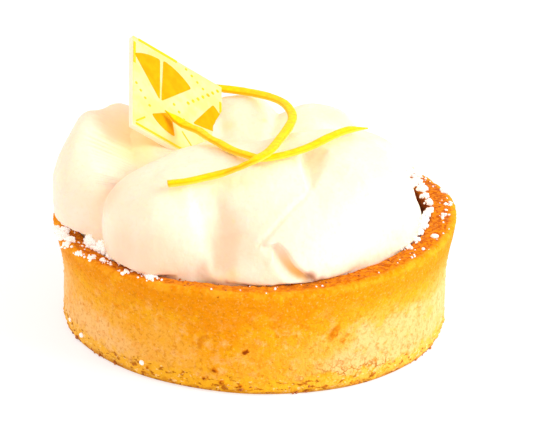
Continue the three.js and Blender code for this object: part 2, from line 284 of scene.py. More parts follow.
# ---- material nodes
class Shader:
    """A Principled material with short ways to add nodes."""

    def __init__(self, name, roughness, specular):
        self.material = bpy.data.materials.new(name)
        self.material.use_nodes = True
        self.tree = self.material.node_tree
        self.principled = self.tree.nodes["Principled BSDF"]
        self.set("Roughness", roughness)
        self.set("Specular IOR Level", specular)
        metres = self.node("TexCoord").outputs["Object"]
        self.place = self.vector("SCALE", {0: metres, "Scale": 1 / MM})

    def feed(self, socket, value):
        """Sets a socket to a number, vector or colour, or links another socket to it."""
        if isinstance(value, tuple) and socket.type == "RGBA":
            value = (*value, 1)
        if isinstance(value, (int, float, tuple)):
            socket.default_value = value
        else:
            self.tree.links.new(value, socket)

    def set(self, name, value):
        """Feeds one input of the Principled shader."""
        self.feed(self.principled.inputs[name], value)

    def node(self, kind, inputs=None, **settings):
        """A new node with its settings, and its inputs by name or number."""
        node = self.tree.nodes.new("ShaderNode" + kind)
        for name, value in settings.items():
            setattr(node, name, value)
        for key, value in (inputs or {}).items():
            self.feed(node.inputs[key], value)
        return node

    def vector(self, operation, inputs):
        return self.node("VectorMath", inputs, operation=operation).outputs["Vector"]

    def noise(self, cell, detail=3, roughness=0.55, stretch=(1, 1, 1)):
        """Noise from 0 to 1 with features about one cell across, in millimetres."""
        place = self.place
        if stretch != (1, 1, 1):
            place = self.vector("MULTIPLY", {0: place, 1: stretch})
        inputs = {"Vector": place, "Scale": 1 / cell, "Detail": detail, "Roughness": roughness}
        return self.node("TexNoise", inputs).outputs["Fac"]

    def cells(self, cell, feature="F1", warp=0):
        """Distance from the middle or the edge of random cells, warped by noise."""
        place = self.place
        if warp:
            shift = self.node("TexNoise", {"Vector": place, "Scale": 2 / cell}).outputs["Color"]
            place = self.vector("MULTIPLY_ADD", {0: shift, 1: (warp * cell,) * 3, 2: place})
        inputs = {"Vector": place, "Scale": 1 / cell}
        return self.node("TexVoronoi", inputs, feature=feature).outputs["Distance"]

    def along(self, axis):
        """Place along the pie's X, Y or Z, in millimetres."""
        return self.node("SeparateXYZ", {0: self.place}).outputs[axis]

    def painted(self, name):
        return self.node("Attribute", attribute_name=name).outputs["Fac"]

    def fade(self, value, low, high, to_low=0, to_high=1):
        """A smooth step of value from low to high."""
        inputs = {0: value, 1: low, 2: high, 3: to_low, 4: to_high}
        return self.node("MapRange", inputs, interpolation_type="SMOOTHSTEP").outputs["Result"]

    def patches(self, cell, detail, roughness, low, high, strength=1, stretch=(1, 1, 1)):
        """Patches where noise rises from low to high, up to a strength."""
        return self.fade(self.noise(cell, detail, roughness, stretch), low, high, 0, strength)

    def math(self, operation, first, second):
        return self.node("Math", {0: first, 1: second}, operation=operation).outputs["Value"]

    def mix(self, amount, first, second):
        """One colour over another by an amount; each is a socket or plain numbers."""
        return self.node("Mix", {0: amount, 6: first, 7: second}, data_type="RGBA").outputs[2]

    def over(self, base, colour, amount, mask=None):
        """A colour laid over the base by an amount, within a mask where there is one."""
        if mask is not None:
            amount = self.math("MULTIPLY", amount, mask)
        return self.mix(amount, base, colour)

    def drift(self, cell, detail, first, second):
        """A colour that drifts softly between two."""
        return self.mix(self.patches(cell, detail, 0.55, 0.35, 0.65), first, second)

    def ramp(self, value, stops):
        """A colour for each stop of value between 0 and 1."""
        node = self.node("ValToRGB", {0: value})
        ramp = node.color_ramp
        ramp.interpolation = "EASE"
        while len(ramp.elements) < len(stops):
            ramp.elements.new(1)
        for element, (position, colour) in zip(ramp.elements, stops):
            element.position = position
            element.color = (*colour, 1)
        return node.outputs["Color"]

    def bump(self, *layers):
        """Relief from pairs of a height socket and its depth in millimetres."""
        below = {}
        for height, depth in layers:
            node = self.node("Bump", {"Height": height, "Distance": depth * MM, **below})
            below = {"Normal": node.outputs["Normal"]}
        self.set("Normal", below["Normal"])

    def soft(self, weight, radius, scale):
        """Light that spreads under the surface, in millimetres for each colour."""
        self.set("Subsurface Weight", weight)
        self.set("Subsurface Radius", radius)
        self.set("Subsurface Scale", scale * MM)


def crust_material():
    look = Shader("crust", 0.75, 0.02)
    height = look.along("Z")
    drift = look.fade(look.noise(9, 4), 0.25, 0.75, -4, 4)
    lower = look.fade(look.math("ADD", height, drift), 17.5, 5, 0, 0.5)
    # Paler towards the right and the left: painted light where the lamps on those sides fall.
    right = look.fade(look.along("X"), 2, 24, 0, 0.66)
    left = look.fade(look.along("X"), -6, -30, 0, 0.44)
    under_rim = look.fade(height, 20.5, 11.5)
    sides = look.math("MULTIPLY", look.math("ADD", left, right), under_rim)
    stops = [
        (0, (0.79, 0.305, 0.001)), (0.35, (0.83, 0.395, 0.008)),
        (0.7, (0.84, 0.455, 0.05)), (1, (0.86, 0.585, 0.215)),
    ]
    dough = look.ramp(look.math("ADD", lower, sides), stops)
    # Paler still at the far left and right edges: a painted sheen where the wall turns away.
    right_sheen = look.fade(look.along("X"), 32, 39.5, 0, 0.5)
    left_sheen = look.fade(look.along("X"), -34.5, -39, 0, 0.6)
    edges = look.math("ADD", right_sheen, left_sheen)
    dough = look.over(dough, (0.96, 0.72, 0.38), edges, under_rim)
    dough = crust_mottle(look, dough, under_rim)
    look.set("Base Color", crust_marks(look, dough, height))
    look.bump((look.noise(1.6, 4), 0.35), (look.noise(0.45, 3), 0.22))
    look.set("Sheen Weight", 0.08)
    look.set("Sheen Roughness", 0.45)
    look.set("Sheen Tint", (1, 0.85, 0.6))
    return look.material


def crust_mottle(look, dough, under_rim):
    """Patches and grain of the dough."""
    cream = look.patches(2.6, 5, 0.65, 0.5, 0.68, 0.55)
    dough = look.over(dough, (0.9, 0.59, 0.21), cream, under_rim)
    orange = look.patches(2.1, 5, 0.65, 0.5, 0.66, 0.6, (1, 1, 1.3))
    upper = look.fade(look.along("Z"), 5, 17, 0.45, 1)
    dough = look.over(dough, (0.8, 0.27, 0.002), orange, upper)
    yellow = look.patches(3.4, 4, 0.6, 0.54, 0.66, 0.45)
    dough = look.over(dough, (0.84, 0.46, 0.004), yellow)
    light_grain = look.patches(0.5, 3, 0.7, 0.54, 0.72, 0.4)
    dough = look.over(dough, (0.98, 0.66, 0.22), light_grain)
    dark_grain = look.patches(0.8, 4, 0.7, 0.5, 0.68, 0.6)
    return look.over(dough, (0.59, 0.21, 0.002), dark_grain)


def crust_foot(look, dough, height):
    """The crumbly foot: painted highlights on its grains, dark clefts and a darker brown at the very
    bottom.
    """
    wander = look.fade(look.noise(2.5, 3), 0.3, 0.7, -1, 1)
    foot = look.fade(look.math("ADD", height, wander), 4, 2.4)
    dough = look.over(dough, (0.86, 0.49, 0.012), foot, 0.7)
    # Bright grains on the foot: painted highlights.
    foot_glints = look.patches(0.9, 2, 0.5, 0.6, 0.68, 0.7, (0.8, 0.8, 1.4))
    dough = look.over(dough, (0.97, 0.74, 0.34), foot, foot_glints)
    clefts = look.patches(1.1, 4, 0.65, 0.46, 0.38, 0.85, (0.6, 0.6, 1.5))
    dough = look.over(dough, (0.36, 0.09, 0.003), foot, clefts)
    level = look.math("ADD", height, look.math("MULTIPLY", wander, 0.5))
    return look.over(dough, (0.5, 0.16, 0.003), look.fade(level, 1.3, 0.2, 0, 0.6))


def crust_marks(look, dough, height):
    """Pits, cracks, foot, rim, torn blisters, a painted rim highlight and painted recess shade, over the
    dough.
    """
    pits = look.patches(0.42, 2, 0.5, 0.68, 0.73, 0.75, (0.5, 0.5, 1.4))
    low_down = look.fade(height, 19, 2, 0.35, 1)
    dough = look.over(dough, (0.34, 0.12, 0.004), pits, low_down)
    network = look.fade(look.cells(2.3, "DISTANCE_TO_EDGE", 1.1), 0.1, 0.035, 0, 0.85)
    dough = look.over(dough, (0.38, 0.14, 0.004), network, look.painted("crackle"))
    dough = crust_foot(look, dough, height)
    # A painted highlight, broken up, along the rim's outer edge.
    uneven = look.patches(2, 3, 0.55, 0.35, 0.65)
    dough = look.over(dough, (0.94, 0.48, 0.025), look.painted("rim_highlight"), uneven)
    rim_grain = look.patches(0.9, 4, 0.7, 0.42, 0.6)
    rim_dough = look.mix(rim_grain, (0.45, 0.1, 0.001), (0.74, 0.265, 0.002))
    dough = look.over(dough, rim_dough, look.painted("rim_top"))
    # Painted shade, dark brown, on the recess wall below the rim.
    dough = look.over(dough, (0.26, 0.055, 0), look.painted("recess_shade"))
    char = look.painted("char")
    tone = look.mix(look.fade(char, 0.5, 0.9), (0.66, 0.23, 0.004), (0.28, 0.055, 0.002))
    broken = look.patches(0.9, 3, 0.55, 0.3, 0.5)
    return look.over(dough, tone, look.fade(char, 0, 0.6), broken)


# Painted shade over the meringue, the last on top: pink and tan shade, the shadow along the lip and dark
# shade where the foot meets the rim.
MERINGUE_TONES = {
    "pink_shade": (0.94, 0.72, 0.52),
    "tan_shade": (0.96, 0.81, 0.45),
    "lip_shadow": (0.93, 0.64, 0.22),
    "gap_shade": (0.34, 0.1, 0.005),
}


def meringue_material():
    look = Shader("meringue", 0.55, 0.3)
    tint = look.patches(6, 3, 0.55, 0.35, 0.7)
    base = look.mix(tint, (0.97, 0.895, 0.735), (0.97, 0.875, 0.69))
    fleck = look.patches(0.8, 4, 0.65, 0.5, 0.72, 0.45)
    base = look.over(base, (0.96, 0.81, 0.58), fleck)
    for name, colour in MERINGUE_TONES.items():
        base = look.over(base, colour, look.painted(name))
    look.set("Base Color", base)
    look.bump((look.noise(1.4, 4), 0.1), (look.noise(0.4, 2), 0.03))
    look.soft(0.35, (1, 0.55, 0.3), 3)
    return look.material


def plaque_material():
    look = Shader("plaque", 0.45, 0.1)
    face = look.drift(4, 3, (0.86, 0.77, 0.38), (0.86, 0.74, 0.25))
    look.set("Base Color", look.mix(look.painted("face"), (0.96, 0.92, 0.72), face))
    look.bump((look.noise(1.2, 2), 0.03))
    look.soft(0.25, (1, 0.8, 0.4), 1)
    return look.material


def print_material():
    look = Shader("citrus_print", 0.55, 0.04)
    look.set("Base Color", look.drift(2.2, 3, (0.72, 0.37, 0), (0.74, 0.44, 0.001)))
    look.bump((look.noise(0.6, 2), 0.01))
    return look.material


def line_material():
    look = Shader("line_print", 0.45, 0.15)
    look.set("Base Color", look.drift(1.2, 3, (0.66, 0.62, 0), (0.74, 0.6, 0.02)))
    look.bump((look.noise(0.6, 2), 0.01))
    return look.material


def zest_material():
    look = Shader("zest", 0.45, 0.12)
    peel = look.drift(1.2, 3, (0.92, 0.64, 0), (0.95, 0.78, 0))
    peel = look.over(peel, (0.82, 0.46, 0), look.painted("edge"), 0.75)
    look.set("Base Color", look.over(peel, (0.94, 0.78, 0.1), look.painted("pith")))
    look.bump((look.fade(look.cells(0.45), 0, 0.35), 0.05))
    look.soft(0.15, (1, 0.8, 0.2), 0.6)
    return look.material


def sugar_material():
    look = Shader("sugar", 0.55, 0.4)
    look.set("Base Color", look.drift(0.9, 2, (1, 0.98, 0.96), (0.97, 0.9, 0.85)))
    look.bump((look.noise(0.25, 3), 0.06))
    look.soft(1, (1, 0.9, 0.85), 0.8)
    # A faint glow: painted light on the sugar's shaded sides.
    look.set("Emission Color", (1, 0.92, 0.88))
    look.set("Emission Strength", 0.2)
    return look.material


def caramel_material():
    look = Shader("caramel", 0.5, 0.4)
    look.set("Base Color", look.drift(0.5, 2, (0.3, 0.07, 0.006), (0.55, 0.2, 0.02)))
    look.bump((look.noise(0.25, 3), 0.05))
    return look.material


# ---- crust
def rim_height(angle):
    """Height of the uneven rim, higher on the right, with a small peak on the left."""
    slope = CRUST_HEIGHT + RIM_SLOPE * np.cos(angle)
    waves = slope - 0.3 * np.sin(2 * angle) + 0.35 * np.cos(3 * angle + 0.4)
    peak = RIM_PEAK * np.maximum(0, -np.cos(angle)) ** 24
    return waves + 0.08 * np.sin(7 * angle + 2.1) + peak


def rim_inner(angle):
    """Inner radius of the rim, which is thicker on the right."""
    return RIM_INNER_RADIUS - RIM_THICKENING * np.maximum(0, np.cos(angle)) ** 2


def wall_bulge(angle):
    """Uneven swelling of the baked wall."""
    broad = 0.2 * np.cos(angle) - 0.08 * np.sin(2 * angle) - 0.33 * np.cos(3 * angle)
    return broad + 0.06 * np.sin(11 * angle + 0.4)


def wall_radius(angle, share):
    """Radius of the outer wall at a share of its height: it flares out to the rim."""
    flare = smooth(FLARE_START, CRUST_HEIGHT + 1, share * CRUST_HEIGHT)
    lip = RIM_LIP * smooth(0.8, 1, share) * np.maximum(0, -np.cos(angle + 0.1)) ** 16
    return WALL_RADIUS + (RIM_RADIUS - WALL_RADIUS) * flare + wall_bulge(angle) + lip


def crust_rows(angle):
    """Radius and height of each row, from under the base up over the rim."""
    top = rim_height(angle)
    bulge = wall_bulge(angle)
    rows = []
    for share in np.linspace(0.2, 1, 6):
        rows.append(((WALL_RADIUS - 0.5 + bulge) * share, 0 * angle))
    for share in np.linspace(0.012, 1, WALL_ROWS):
        height = share * (top - RIM_ROUNDING)
        foot = -0.5 * (1 - smooth(0, 1, height))
        rows.append((wall_radius(angle, height / top) + foot, height))
    outer = rows[-1][0]
    for turn in np.linspace(0.15, 1, 6):
        lean = turn * pi / 2
        radius = outer - RIM_ROUNDING * (1 - cos(lean))
        rows.append((radius, top - RIM_ROUNDING * (1 - sin(lean))))
    crest = rows[-1][0]
    inner = rim_inner(angle) + INNER_ROUNDING
    for share in np.linspace(0, 1, RIM_ROWS + 1)[1:]:
        crown = 0.12 * sin(share * pi)
        rows.append((crest + (inner - crest) * share, top + crown))
    for turn in np.linspace(0.2, 1, 4):
        lean = turn * pi / 2
        drop = INNER_ROUNDING * (1 - cos(lean))
        rows.append((inner - INNER_ROUNDING * sin(lean), top - drop))
    edge = top - INNER_ROUNDING
    for share in np.linspace(0, 1, 7)[1:]:
        rows.append((rim_inner(angle), edge - (edge - RECESS_FLOOR) * share))
    for radius in (30, 16):
        rows.append((radius + 0 * angle, RECESS_FLOOR + 0 * angle))
    return rows


def spots(points, places, core=0.2):
    """Strength of soft round spots at each point: centre x, y, z, radius and strength."""
    strength = np.zeros(len(points))
    for x, y, z, radius, weight in places:
        near = norm(points - (x, y, z), axis=1) / radius
        strength = np.maximum(strength, weight * (1 - smooth(core, 1, near)))
    return strength


def on_wall(angle_degrees, height):
    """A point on the crust's outer wall."""
    angle = np.radians(angle_degrees)
    return around_axis(angle, wall_radius(angle, height / rim_height(angle)), height)


# Torn blisters and small cracks of the wall: angle in degrees, height, size and darkness.
BLISTERS = [
    (-66.2, 13.2, 0.9, 0.55), (-66.8, 12.6, 1, 0.6), (-67.4, 11.9, 1, 0.6), (-67.8, 11.2, 0.8, 0.5),
    (-64.2, 10.4, 0.8, 0.5), (-63, 11.6, 0.6, 0.45), (-92.5, 8.8, 0.5, 1), (-91.9, 9.2, 0.45, 1),
    (-103.6, 11.3, 0.7, 0.45), (-104.6, 11.2, 0.7, 0.4), (-105.3, 10.4, 0.8, 0.45),
    (-105.4, 9.5, 0.9, 0.45), (-101.6, 4.7, 0.5, 0.8), (-100.6, 4.5, 0.5, 0.8), (-104, 2.6, 0.6, 1),
    (-99, 2.3, 0.7, 0.8), (-98, 2.1, 0.6, 0.8), (-94.5, 1.6, 0.4, 1), (-93.5, 1.7, 0.4, 1),
    (-110.9, 2.6, 0.4, 0.9), (-122.5, 2.1, 0.6, 0.8), (-53, 4.6, 0.6, 0.6), (-57, 0.8, 0.4, 1),
    (-99.8, 21.9, 0.28, 1), (-99.7, 21.3, 0.25, 1), (-99.9, 20.7, 0.25, 0.9),
]


def torn_blisters(points):
    """How deep each point lies in the torn blisters, and how dark it is there."""
    shift = np.stack([noise(points, 0.8, 71 + i) for i in range(3)], axis=1)
    warped = points + 0.35 * shift
    holes = [(*on_wall(a, height), size, 1) for a, height, size, _ in BLISTERS]
    stains = [(*on_wall(a, height), 1.3 * size, dark) for a, height, size, dark in BLISTERS]
    return spots(warped, holes, DENT_CORE), spots(warped, stains, DENT_CORE)


def wall_pores(points):
    """How deep each point lies in the many small pores of the wall."""
    rng = np.random.default_rng(11)
    angles = rng.uniform(0, 360, PORES)
    heights = 21 * rng.uniform(0, 1, PORES) ** 1.6 + 0.4
    sizes = rng.uniform(0.25, 0.5, PORES)
    pores = [(*on_wall(a, height), size, 1) for a, height, size in zip(angles, heights, sizes)]
    return spots(points, pores, DENT_CORE)


def dough_relief(points, below_top):
    """Unevenness of the dough, rough at the foot and along the rim's edge."""
    crumbly = 1 - smooth(1, 3.5, points[:, 2])
    edge = 1 - smooth(0.2, 2, below_top)
    relief = 0.1 * fractal(points, 4, 21) + 0.05 * fractal(points, 1.1, 31, 2)
    relief += crumbly * 0.3 * fractal(points, 1.5, 41, 3)
    return relief + edge * (0.16 * fractal(points, 1.8, 51, 2) + 0.12 * fractal(points, 0.8, 55, 2))


def crust_tones(points, radius, around, below_top, past_inner):
    """Strengths of the painted highlight on the rim's outer edge, the rim's top, the painted shade on the
    recess wall and the crackled foot.
    """
    outside = smooth(RIM_RADIUS - 1.6, RIM_RADIUS - 0.8, radius - wall_bulge(around))
    rim_top = (1 - smooth(0.15, 0.6, below_top)) * (1 - 0.85 * outside)
    right_of_front = np.exp(-(((np.degrees(around) + 60) / 16) ** 2))
    torn = 0.6 * noise(points, 3, 61) + 0.9 * right_of_front
    return {
        "rim_highlight": 0.6 * outside * (1 - smooth(0.6, 1.8, below_top)),
        "rim_top": rim_top * (0.6 + 0.4 * np.abs(np.cos(around))),
        "recess_shade": (1 - smooth(0, 0.5, past_inner)) * smooth(0.2, 1, below_top),
        "crackle": smooth(0.2, 0.7, torn) * (1 - smooth(3, 8, points[:, 2])),
    }


def make_crust(material):
    angle = np.arange(CRUST_SIDES) / CRUST_SIDES * TAU
    rows = crust_rows(angle)
    rings = np.stack([around_axis(angle, radius, height) for radius, height in rows])
    outward = -grid_normals(rings).reshape(-1, 3)
    points = rings.reshape(-1, 3)
    radius = np.hypot(points[:, 0], points[:, 1])
    around = np.arctan2(points[:, 1], points[:, 0])
    below_top = rim_height(around) - points[:, 2]
    past_inner = radius - rim_inner(around)

    blister, darkness = torn_blisters(points)
    pores = wall_pores(points)
    relief = dough_relief(points, below_top) - (0.3 * blister + 0.14 * pores)
    seen = smooth(0, 0.3, points[:, 2]) * smooth(-0.5, 0.5, past_inner)
    points = points + outward * (relief * seen)[:, None]
    points[:, 2] = np.maximum(points[:, 2], 0)

    points_and_poles = np.vstack([[(0, 0, 0)], points, [(0, 0, RECESS_FLOOR)]])
    faces = ring_faces(len(rows), CRUST_SIDES)
    piece = make_piece("crust_baked", points_and_poles, faces, material, "crust")
    tones = crust_tones(points, radius, around, below_top, past_inner)
    tones["char"] = np.clip(darkness + 0.3 * pores, 0, 1)
    for name, values in tones.items():
        paint(piece, name, [0, *values, 0])


# ---- meringue
def lump_distance(points, lump):
    """About the distance to one lump's skin, negative inside."""
    x, y, z, along, across, up, heading, pitch, power = lump
    yaw, tilt = radians(heading), radians(pitch)
    long_axis = np.array([cos(yaw) * cos(tilt), sin(yaw) * cos(tilt), sin(tilt)])
    side_axis = np.array([-sin(yaw), cos(yaw), 0.0])
    axes = np.stack([long_axis, side_axis, np.cross(long_axis, side_axis)])
    radii = np.array([along, across, up])
    share = np.abs((points - (x, y, z)) @ axes.T) / radii
    lower = share ** (power - 1)
    total = (lower * share).sum(axis=1) + 1e-12
    size = total ** (1 / power)
    slope = np.sqrt(((lower / radii) ** 2).sum(axis=1)) * size / total
    return (size - 1) / np.maximum(slope, 1e-3)


def blend(distances, radius):
    """Union of several distances with a rounded valley between them."""
    distances = np.stack(distances)
    least = distances.min(axis=0)
    return least - radius * np.log(np.exp((least - distances) / radius).sum(axis=0))


def skirt_height(angle):
    """Height above which the folds may swell out over the rim, higher on the left."""
    level = SKIRT_HEIGHT + 0.9 * np.cos(angle) + 0.2 * np.sin(3 * angle + 1)
    level = level + 0.15 * np.sin(7 * angle + 2.1)
    level = level + SKIRT_LIFT * np.maximum(0, -np.cos(angle)) ** 8
    return np.maximum(level, rim_height(angle) + RIM_CLEARANCE)


def meringue_distance(points):
    """Distance to the meringue: the folds, kept clear of the recess and of the rim."""
    folds = [
        blend([lump_distance(points, lump) for lump in lumps], FOLD_BLEND)
        for lumps in FOLDS.values()
    ]
    body = blend(folds, CREASE_BLEND)
    radius = np.hypot(points[:, 0], points[:, 1])
    angle = np.arctan2(points[:, 1], points[:, 0])
    over_rim = points[:, 2] - skirt_height(angle)
    limit = rim_inner(angle) - EDGE_CLEARANCE + UNDERCUT_RUN * np.maximum(0, over_rim)
    wall = (radius - limit) / np.where(over_rim > 0, UNDERCUT_RUN, 1)
    return np.maximum(body, np.maximum(wall, MERINGUE_FLOOR - points[:, 2]))


def pressed_depth(directions, names=PRESSED_LINES):
    """How deep the named lines go at each direction from the heart, in millimetres."""
    total = np.zeros(len(directions))
    for name in names:
        depth, left_width, right_width, way_points = PRESSED_LINES[name]
        marks = np.array(way_points, float)
        reach = norm(marks[:, :3] - HEART, axis=1)
        path = (marks[:, :3] - HEART) / reach[:, None]
        nearest = np.full(len(directions), np.inf)
        pressed = np.zeros(len(directions))
        for i, (start, end) in enumerate(zip(path[:-1], path[1:])):
            run = end - start
            share = np.clip((directions - start) @ run / (run @ run), 0, 1)
            offset = directions - start - share[:, None] * run
            distance = norm(offset, axis=1) * reach.mean()
            side = (np.cross(directions, run) * offset).sum(axis=1)
            strength = marks[i, 3] + (marks[i + 1, 3] - marks[i, 3]) * share
            width = np.where(side > 0, left_width, right_width) * (0.25 + 0.75 * strength)
            here = depth * strength * np.exp(-((distance / width) ** 3))
            closer = distance < nearest
            pressed[closer] = here[closer]
            nearest[closer] = distance[closer]
        total += pressed
    return total


def skin_reach(directions):
    """How far the skin lies from the heart in each direction, found from outside."""
    reach = np.full(len(directions), 48.0)
    moving = np.arange(len(directions))
    for _ in range(220):
        gap = meringue_distance(HEART + directions[moving] * reach[moving, None])
        reach[moving] -= np.clip(0.6 * gap, 0, 1.5)
        moving = moving[(gap > 0.0015) & (reach[moving] > 1)]
        if not len(moving):
            break
    return reach


def star_directions():
    """Unit directions from the heart: rows downwards, columns round, then both tips."""
    edge = pi / 2 + atan2(HEART[2] - MERINGUE_FLOOR, RIM_INNER_RADIUS) + 0.02
    skin = np.linspace(0, edge, MERINGUE_ROWS + 1)[1:]
    below = np.linspace(edge, pi, BOTTOM_ROWS + 2)[1:-1]
    polar = np.concatenate([skin, below])[:, None]
    turn = np.arange(MERINGUE_SIDES) / MERINGUE_SIDES * TAU
    angle = (turn - FRONT_DENSITY * np.cos(turn))[None, :]
    grid = around_axis(angle, np.sin(polar), np.cos(polar) + 0 * angle)
    return np.vstack([grid.reshape(-1, 3), [(0, 0, 1), (0, 0, -1)]])


def make_meringue(material):
    directions = star_directions()
    reach = skin_reach(directions)
    off_rim = smooth(*PRESSED_ABOVE, HEART[2] + directions[:, 2] * reach)
    points = HEART + directions * (reach - off_rim * pressed_depth(directions))[:, None]
    tips, points = points[-2:], points[:-2]
    rows = MERINGUE_ROWS + BOTTOM_ROWS
    outward = -grid_normals(points.reshape(rows, MERINGUE_SIDES, 3)).reshape(-1, 3)
    relief = 0.34 * noise(points, 7, 61) + 0.09 * fractal(points, 2.6, 71, 3)
    relief += 0.03 * fractal(points, 0.9, 81, 2)
    points = points + outward * (relief * smooth(19.5, 21, points[:, 2]))[:, None]
    points_and_tips = np.vstack([tips[:1], points, tips[1:]])
    faces = [face[::-1] for face in ring_faces(rows, MERINGUE_SIDES)]
    name = "meringue_folds"
    piece = make_piece(name, points_and_tips, faces, material, "meringue")
    # Painted tan shadow of the plaque on the fold beside it.
    beside_plaque = norm((points - (-24.5, 2.5, 36)) / (6.5, 13, 7), axis=1)
    tan_shade = 1 - smooth(0.5, 1.1, beside_plaque + 0.15 * noise(points, 3, 77))
    # Painted shadow along the pressed line under the lip.
    in_lip = pressed_depth(directions[:-2], ["lip"])
    tones = {
        "tan_shade": np.maximum(tan_shade, spots(points, TAN_SHADE_SPOTS)),
        "pink_shade": spots(points, PINK_SHADE_SPOTS),
        "lip_shadow": smooth(1.4, 1.9, in_lip) * smooth(28.5, 24, points[:, 2]),
        "gap_shade": spots(points, GAP_SHADE_SPOTS),
    }
    for name, values in tones.items():
        paint(piece, name, [0, *values, 0])


# ---- plaque
def plaque_frame():
    """The plaque's top corner and unit vectors right, down and out of its face."""
    rightward = PLAQUE_RIGHT - PLAQUE_TOP
    rightward /= norm(rightward)
    downward = PLAQUE_LEFT - PLAQUE_TOP
    downward -= (downward @ rightward) * rightward
    downward /= norm(downward)
    return PLAQUE_TOP, rightward, downward, np.cross(downward, rightward)


def on_plaque(right, down, out=0):
    """A point measured along and down the plaque's face and out of it."""
    corner, rightward, downward, outward = plaque_frame()
    return corner + right * rightward + down * downward + out * outward


def form_parts(form):
    """Points and faces of a bmesh, which is let go after that."""
    form.verts.index_update()
    points = np.array([vertex.co for vertex in form.verts])
    faces = [[vertex.index for vertex in face.verts] for face in form.faces]
    form.free()
    return points, faces


def make_plaque(material):
    """The square slab, with its edges rounded by a narrow bevel."""
    form = bmesh.new()
    corners = [(0, 0), (0, PLAQUE_SIDE), (PLAQUE_SIDE, PLAQUE_SIDE), (PLAQUE_SIDE, 0)]
    front = [form.verts.new(on_plaque(r, d)) for r, d in corners]
    back = [form.verts.new(on_plaque(r, d, -PLAQUE_THICKNESS)) for r, d in corners]
    form.faces.new(front)
    form.faces.new(back[::-1])
    for i in range(4):
        j = (i + 1) % 4
        form.faces.new([front[j], front[i], back[i], back[j]])
    bmesh.ops.recalc_face_normals(form, faces=form.faces)
    bmesh.ops.bevel(
        form, geom=form.edges[:], offset=PLAQUE_BEVEL, segments=4, profile=0.5, affect="EDGES"
    )
    points, faces = form_parts(form)
    piece = make_piece("plaque_slab", points, faces, material, "lemon_plaque")
    corner, _, _, outward = plaque_frame()
    paint(piece, "face", (points - corner) @ outward > -0.1)


def rounded(outline, radius, steps=5):
    """An outline with its corners rounded off."""
    outline = np.asarray(outline, float)
    result = []
    for before, corner, after in zip(np.roll(outline, 1, 0), outline, np.roll(outline, -1, 0)):
        way_in, way_out = before - corner, after - corner
        reach = min(radius, 0.45 * norm(way_in), 0.45 * norm(way_out))
        start = corner + way_in / norm(way_in) * reach
        end = corner + way_out / norm(way_out) * reach
        for t in np.linspace(0, 1, steps):
            result.append((1 - t) ** 2 * start + 2 * t * (1 - t) * corner + t**2 * end)
    return result


def wedge(centre, middle, spread, inner, outer):
    """A citrus segment: a tip near the centre and an arc; angles in degrees."""
    angles = np.radians(np.linspace(middle - spread / 2, middle + spread / 2, 7))
    arc = [centre + outer * np.array([cos(a), -sin(a)]) for a in angles]
    turn = radians(middle)
    tip = centre + inner * np.array([cos(turn), -sin(turn)])
    return rounded([tip, *arc], 0.7)


def bar(start, end, width):
    """A thin printed line with round ends."""
    start, end = np.array(start, float), np.array(end, float)
    along = (end - start) / norm(end - start)
    across = np.array([-along[1], along[0]]) * width / 2
    return rounded([start + across, end + across, end - across, start - across], width / 2, 4)


def dot(centre, radius):
    angles = np.arange(10) / 10 * TAU
    return [centre + radius * np.array([cos(a), sin(a)]) for a in angles]


def segment_shapes():
    """Outlines of the citrus segments, in millimetres along and down the plaque."""
    upper, right, left = (7.2, 14.2), (15.4, 15), (10.4, 14.2)
    return [
        wedge(upper, 108, 36, 0.6, 11.6),
        wedge(upper, 66, 40, 0.6, 12),
        wedge(right, 33, 44, 0.4, 10.4),
        wedge(left, 246, 56, 1.2, 7),
    ]


def line_shapes():
    """Thin lines along the plaque's edges and rows of small dots."""
    shapes = [
        bar((0.45, 1.6), (0.45, 7.4), 0.6),
        bar((1.4, 0.45), (11.8, 0.45), 0.7),
        bar((0.7, 23.4), (13.5, 23.4), 0.6),
        bar((0.8, 22.8), (3.2, 20.4), 0.4),
        bar((23.4, 4.5), (23.4, 12), 0.6),
        bar((12.8, 18.6), (15.8, 21.6), 0.4),
    ]
    shapes += [dot((0.9 + 1.15 * i, 12.6 + 1.35 * i), 0.34) for i in range(4)]
    shapes += [dot((10.8 + 1.3 * i, 12.6 + 1.3 * i), 0.36) for i in range(4)]
    shapes += [dot((14.6 + 1.35 * i, 10 - 1.35 * i), 0.42) for i in range(7)]
    shapes += [dot((14.2 + 1.5 * i, 1 + 0.9 * i), 0.34) for i in range(5)]
    return shapes


def make_print(name, outlines, material):
    """Printed shapes with a slight thickness, standing on the plaque's face."""
    points, faces = [], []
    for outline in outlines:
        first, count = len(points), len(outline)
        points += [on_plaque(r, d, PRINT_THICKNESS) for r, d in outline]
        points += [on_plaque(r, d, -PRINT_SINK) for r, d in outline]
        faces.append([first + i for i in range(count)])
        faces.append([first + count + i for i in reversed(range(count))])
        for i in range(count):
            j = (i + 1) % count
            faces.append([first + j, first + i, first + count + i, first + count + j])
    make_piece(name, points, faces, material).data.shade_flat()


